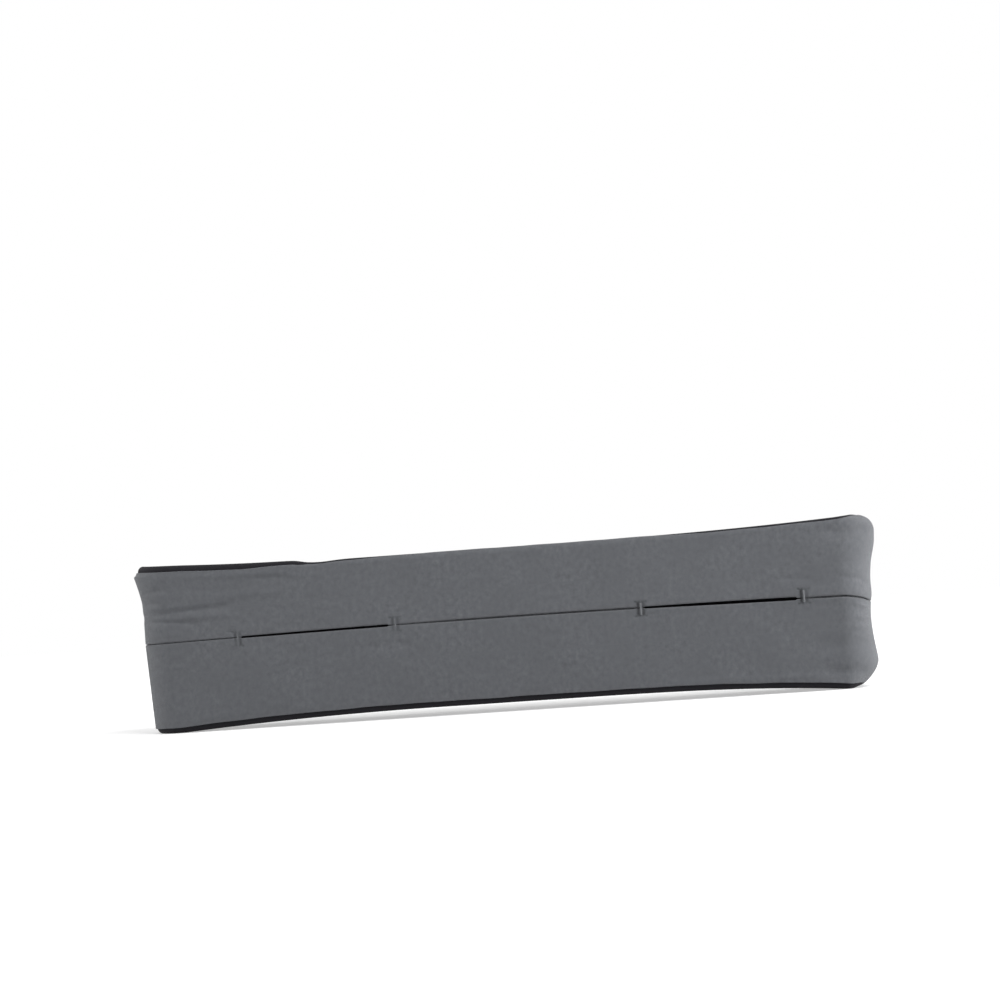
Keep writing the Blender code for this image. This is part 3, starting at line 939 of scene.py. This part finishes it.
def make_knit_group():
    """Columns of V-shaped knit stitches, by where a point lies in the cloth: their height, and a painted
    shade that is darker where they are low.
    """
    tree, given, out = new_group(
        "knit_stitches", "ShaderNodeTree",
        [("Cloth", "NodeSocketVector"), ("Wale Width", "NodeSocketFloat"),
         ("Course Height", "NodeSocketFloat")],
        [("Height", "NodeSocketFloat"), ("Shade", "NodeSocketFloat")])
    along, up, _ = add_node(tree, "ShaderNodeSeparateXYZ", {0: given["Cloth"]}).outputs
    column = maths(tree, "FRACT", maths(tree, "DIVIDE", along, given["Wale Width"]))
    from_middle = maths(tree, "ABSOLUTE", maths(tree, "MULTIPLY_ADD", column, 2.0, -1.0))
    leg = maths(tree, "SINE", maths(tree, "MULTIPLY", from_middle, pi))
    course = maths(tree, "DIVIDE", up, given["Course Height"])
    climb = maths(tree, "MULTIPLY_ADD", from_middle, V_SLANT, course)
    loop = maths(tree, "COSINE", maths(tree, "MULTIPLY", climb, 2 * pi))
    height = maths(tree, "MULTIPLY", leg, maths(tree, "MULTIPLY_ADD", loop, LOOP_DEPTH, 1 - LOOP_DEPTH))
    # Painted shade: the colour follows the stitch height, darker in the hollows between the loops
    set_sockets(tree, out, {"Height": height, "Shade": maths(tree, "SUBTRACT", height, 0.5)})
    return tree


def make_mottle_group():
    """Uneven dye and yarn: patches of strokes along the wales, and slow blotches."""
    sizes = ("Stroke Width", "Stroke Length", "Blotch Size")
    tree, given, out = new_group(
        "cloth_mottle", "ShaderNodeTree",
        [("Cloth", "NodeSocketVector")] + [(name, "NodeSocketFloat") for name in sizes],
        [("Strokes", "NodeSocketFloat"), ("Blotches", "NodeSocketFloat")])
    along, up, _ = add_node(tree, "ShaderNodeSeparateXYZ", {0: given["Cloth"]}).outputs

    def noise(width, length, detail):
        """Noise stretched to a width along the cloth and a length across it."""
        scaled = add_node(tree, "ShaderNodeCombineXYZ", {"X": maths(tree, "DIVIDE", along, width),
                                                         "Y": maths(tree, "DIVIDE", up, length)})
        made = add_node(tree, "ShaderNodeTexNoise", {"Vector": scaled.outputs[0], "Scale": 1.0,
                                                     "Detail": detail, "Roughness": MOTTLE_ROUGHNESS})
        return maths(tree, "SUBTRACT", made.outputs[0], 0.5)

    strokes = noise(given["Stroke Width"], given["Stroke Length"], STROKE_DETAIL)
    blotches = noise(given["Blotch Size"], given["Blotch Size"], BLOTCH_DETAIL)
    patches = add_node(tree, "ShaderNodeMapRange",
                       {"Value": blotches, "From Min": -BLOTCH_RANGE, "From Max": BLOTCH_RANGE,
                        "To Min": FAINT_STROKES, "To Max": STRONG_STROKES})
    set_sockets(tree, out, {"Strokes": maths(tree, "MULTIPLY", strokes, patches.outputs[0]),
                            "Blotches": blotches})
    return tree


def make_knit_finish(name, knit, mottle, colour, look):
    """A matt knit with its stitches, painted shade between them, strokes, blotches, painted shade in its
    creases and a soft sheen.
    """
    finish, tree, shader = new_finish(name)
    cloth = add_node(tree, "ShaderNodeAttribute", attribute_name="cloth").outputs["Vector"]
    stitches = add_node(tree, "ShaderNodeGroup", {"Cloth": cloth, **KNIT_STITCH}, node_tree=knit).outputs
    uneven = add_node(tree, "ShaderNodeGroup", {"Cloth": cloth, **MOTTLE}, node_tree=mottle).outputs
    painted_crease_shade = add_node(tree, "ShaderNodeSeparateXYZ", {0: cloth}).outputs[2]
    # Painted shade in the knit's hollows
    value = maths(tree, "MULTIPLY_ADD", stitches["Shade"], look["painted_stitch_shade"], 1.0)
    value = maths(tree, "MULTIPLY_ADD", uneven["Strokes"], look["strokes"], value)
    value = maths(tree, "MULTIPLY_ADD", uneven["Blotches"], look["blotches"], value)
    # Painted shade: darker in the creases round the bar tacks
    value = maths(tree, "MULTIPLY", value, maths(tree, "MULTIPLY_ADD", painted_crease_shade, -look["painted_crease_shade"], 1.0))
    rough = maths(tree, "MULTIPLY_ADD", uneven["Strokes"], STROKE_ROUGHNESS, look["roughness"])
    bump = add_node(tree, "ShaderNodeBump",
                    {"Strength": KNIT_BUMP, "Distance": KNIT_BUMP_HEIGHT, "Height": stitches["Height"]})
    set_sockets(tree, shader, {
        "Base Color": tinted(tree, colour, value), "Roughness": rough, "Normal": bump.outputs[0],
        "Specular IOR Level": KNIT_SPECULAR, "Sheen Weight": look["sheen"],
        "Sheen Roughness": KNIT_SHEEN_ROUGHNESS})
    return finish


def make_thread_finish(name, colour, sheen):
    """Twisted sewing thread: a fine slanting ply and a satin sheen."""
    finish, tree, shader = new_finish(name)
    place_on = add_node(tree, "ShaderNodeTexCoord").outputs["Object"]
    ply = add_node(tree, "ShaderNodeTexWave",
                   {"Vector": place_on, "Scale": PLY_SCALE, "Distortion": PLY_WAVER},
                   wave_type="BANDS", bands_direction="DIAGONAL").outputs[1]
    shade = add_node(tree, "ShaderNodeMapRange", {"Value": ply, "To Min": PLY_DARK, "To Max": PLY_LIGHT})
    bump = add_node(tree, "ShaderNodeBump",
                    {"Strength": PLY_BUMP, "Distance": PLY_BUMP_HEIGHT, "Height": ply})
    set_sockets(tree, shader, {
        "Base Color": tinted(tree, colour, shade.outputs[0]), "Normal": bump.outputs[0],
        "Roughness": THREAD_ROUGHNESS, "Sheen Weight": sheen, "Sheen Roughness": THREAD_SHEEN_ROUGHNESS})
    return finish


# Studio

def backdrop_rays(tree):
    """1 for rays that should see plain white: from the camera, and off gloss or through glass."""
    light_path = add_node(tree, "ShaderNodeLightPath").outputs
    seen = maths(tree, "MAXIMUM", light_path["Is Camera Ray"], light_path["Is Glossy Ray"])
    return maths(tree, "MAXIMUM", seen, light_path["Is Transmission Ray"])


def make_world(fill):
    """A white surround that lights the belt from all sides at a plain level."""
    world = bpy.data.worlds.new("white_surround")
    bpy.context.scene.world = world
    world.use_nodes = True
    tree = world.node_tree
    strength = add_node(tree, "ShaderNodeMapRange",
                        {"Value": backdrop_rays(tree), "To Min": fill, "To Max": 1.0})
    set_sockets(tree, tree.nodes["Background"], {"Color": WHITE, "Strength": strength.outputs[0]})


def make_floor(near_glow, far_glow):
    """A plain white floor that still takes the belt's shadow, and fades into the surround."""
    mesh = bpy.data.meshes.new("floor")
    corners = [(x * FLOOR_HALF, y * FLOOR_HALF, FLOOR_HEIGHT)
               for x, y in ((-1, -1), (1, -1), (1, 1), (-1, 1))]
    mesh.from_pydata(corners, [], [(0, 1, 2, 3)])
    finish, tree, shader = new_finish("white_floor")
    place_on = add_node(tree, "ShaderNodeTexCoord").outputs["Object"]
    distance = add_node(tree, "ShaderNodeVectorMath", {0: place_on}, operation="LENGTH").outputs["Value"]
    glow = add_node(tree, "ShaderNodeMapRange",
                    {"Value": distance, "From Min": GLOW_FROM, "From Max": GLOW_TO,
                     "To Min": near_glow, "To Max": far_glow})
    strength = maths(tree, "MULTIPLY", backdrop_rays(tree), glow.outputs[0])
    set_sockets(tree, shader, {
        "Base Color": FLOOR_COLOUR, "Roughness": 1.0, "Specular IOR Level": 0.0,
        "Emission Color": WHITE, "Emission Strength": strength})
    mesh.materials.append(finish)
    floor = bpy.data.objects.new("floor", mesh)
    bpy.context.scene.collection.objects.link(floor)


def make_lamp(name, place_at, aim_at, size, watts):
    """A soft square lamp pointed at a place."""
    lamp = bpy.data.lights.new(name, "AREA")
    lamp.size = size
    lamp.energy = watts
    holder = bpy.data.objects.new(name, lamp)
    holder.location = place_at
    holder.rotation_euler = (Vector(aim_at) - Vector(place_at)).to_track_quat("-Z", "Y").to_euler()
    bpy.context.scene.collection.objects.link(holder)


def make_camera():
    """A camera at the photograph's angle, with the belt where the photograph has it."""
    target = Vector((BELT_PIXEL_X, -OUTER_FACE, BELT_WIDTH / 2))
    turn, rise = radians(CAMERA_TURN), radians(CAMERA_RISE)
    back = Vector((sin(turn) * cos(rise), -cos(turn) * cos(rise), sin(rise)))
    level = (-back).to_track_quat("-Z", "Y")
    rolled = level @ Matrix.Rotation(radians(-CAMERA_ROLL), 3, "Z").to_quaternion()
    pixels_wide = LENS / SENSOR * PHOTO_SIZE
    sight = Vector((BELT_PIXEL[0] - PHOTO_SIZE / 2, PHOTO_SIZE / 2 - BELT_PIXEL[1], -pixels_wide))
    aim_off = Vector((0, 0, -1)).rotation_difference(sight)
    data = bpy.data.cameras.new("camera")
    data.lens = LENS
    data.sensor_width = SENSOR
    camera = bpy.data.objects.new("camera", data)
    camera.rotation_mode = "QUATERNION"
    camera.rotation_quaternion = rolled @ aim_off.inverted()
    camera.location = target + CAMERA_DISTANCE * back
    bpy.context.scene.collection.objects.link(camera)
    bpy.context.scene.camera = camera


# The belt

def make_belt():
    """Every piece of the belt in its finish."""
    knit, mottle = make_knit_group(), make_mottle_group()
    grey_knit = make_knit_finish("grey_knit", knit, mottle, GREY_KNIT, GREY_KNIT_LOOK)
    black_knit = make_knit_finish("black_knit", knit, mottle, BLACK_KNIT, BLACK_KNIT_LOOK)
    grey_thread = make_thread_finish("grey_thread", GREY_THREAD, GREY_THREAD_SHEEN)
    black_thread = make_thread_finish("black_thread", BLACK_THREAD, BLACK_THREAD_SHEEN)

    s = loop_stations()
    lining = make_lining(s, black_knit)
    upper, upper_lips = make_strip(UPPER, s, grey_knit)
    lower, lower_lips = make_strip(LOWER, s, grey_knit)

    stitch_row = make_stitch_row()
    for tack in TACKS:
        make_tack(stitch_row, tack, grey_thread)
    make_centre_seams(stitch_row, s, grey_thread)
    make_edge_seams(stitch_row, s, black_thread)
    make_closing_seam(stitch_row, "outer", TUBE_DEPTH, OUTWARD, grey_thread)
    make_closing_seam(stitch_row, "lining", 0.0, INWARD, black_thread)


make_belt()
make_floor(near_glow=0.40, far_glow=0.75)
make_world(fill=0.40)
make_lamp("key", place_at=(0.75, -0.85, 1.6), aim_at=(0, 0, 0.04), size=1.0, watts=23)
make_lamp("right_edge", place_at=(1.1, -0.05, 0.18), aim_at=(0.18, 0, 0.03), size=0.3, watts=8)
make_lamp("left_edge", place_at=(-1.1, 0.0, 0.4), aim_at=(-0.18, 0, 0.04), size=0.5, watts=4)
make_camera()
bpy.context.scene.view_settings.view_transform = "Standard"
